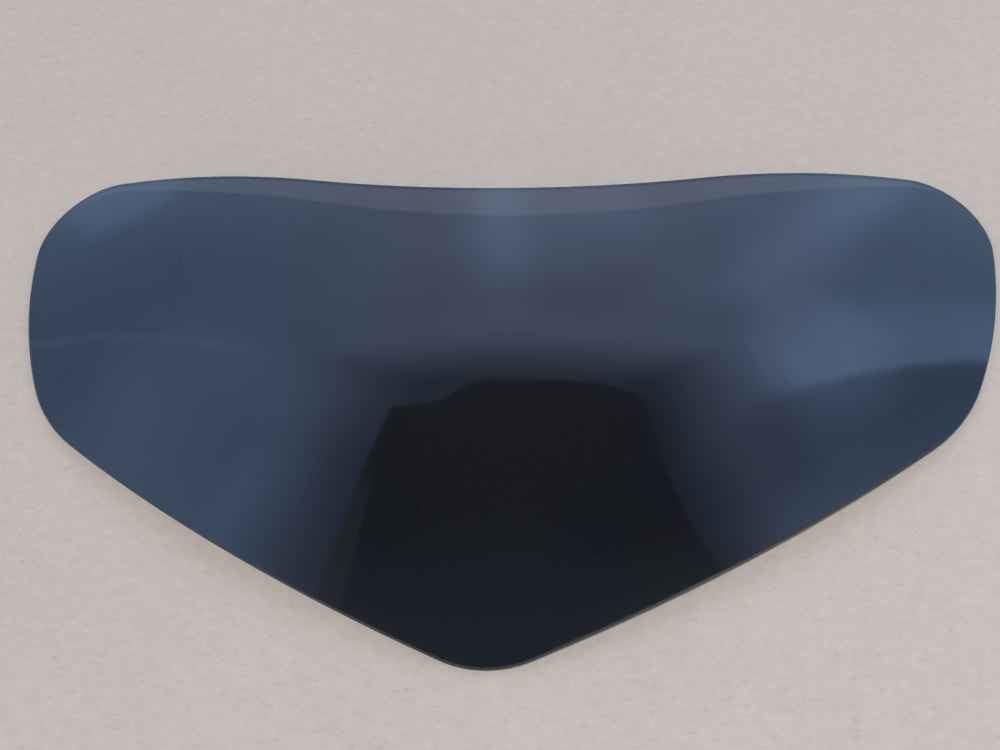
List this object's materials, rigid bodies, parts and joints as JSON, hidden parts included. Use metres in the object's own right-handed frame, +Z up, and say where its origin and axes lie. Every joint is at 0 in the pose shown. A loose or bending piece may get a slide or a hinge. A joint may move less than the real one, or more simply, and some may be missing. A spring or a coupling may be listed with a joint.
{
  "type": "windshield screen",
  "caption": "Wide domed sheet of dark smoke acrylic with rounded wings, a dipped top edge and a V-shaped lower edge, held by reclosable pads on its hollow side.",
  "frame": {"origin": "bottom centre of the whole object as it lies hollow side down on both wings and the tip", "axes": "+X along the span of the wings, -Y towards the tip, +Z up, away from the surface it lies on"},
  "size_m": [0.3992, 0.2342, 0.0395],
  "materials": {
    "smoke_acrylic": "polished dark smoke tint",
    "black_foam": "closed-cell foam",
    "nylon_hook": "moulded nylon hooks",
    "nylon_loop": "brushed loop pile",
    "adhesive_tape": "tacky film"
  },
  "bodies": {
    "screen_body": {"screen": "smoke_acrylic", "foam_tape_wing_left": "black_foam", "hook_tape_wing_left": "nylon_hook", "foam_tape_wing_right": "black_foam", "hook_tape_wing_right": "nylon_hook", "foam_tape_lower_left": "black_foam", "hook_tape_lower_left": "nylon_hook", "foam_tape_lower_right": "black_foam", "hook_tape_lower_right": "nylon_hook"},
    "loop_pad_wing_left": {"loop_tape_wing_left": "nylon_loop", "tack_tape_wing_left": "adhesive_tape"},
    "loop_pad_wing_right": {"loop_tape_wing_right": "nylon_loop", "tack_tape_wing_right": "adhesive_tape"},
    "loop_pad_lower_left": {"loop_tape_lower_left": "nylon_loop", "tack_tape_lower_left": "adhesive_tape"},
    "loop_pad_lower_right": {"loop_tape_lower_right": "nylon_loop", "tack_tape_lower_right": "adhesive_tape"}
  },
  "joints": [
    {"name": "pull_off_wing_left", "type": "slide", "parent": "screen_body", "child": "loop_pad_wing_left", "axis": [0.2606, 0.0584, -0.9637], "range_m": [0, 0.015]},
    {"name": "pull_off_wing_right", "type": "slide", "parent": "screen_body", "child": "loop_pad_wing_right", "axis": [-0.2606, 0.0584, -0.9637], "range_m": [0, 0.015]},
    {"name": "pull_off_lower_left", "type": "slide", "parent": "screen_body", "child": "loop_pad_lower_left", "axis": [0.087, 0.2466, -0.9652], "range_m": [0, 0.015]},
    {"name": "pull_off_lower_right", "type": "slide", "parent": "screen_body", "child": "loop_pad_lower_right", "axis": [-0.087, 0.2466, -0.9652], "range_m": [0, 0.015]}
  ]
}
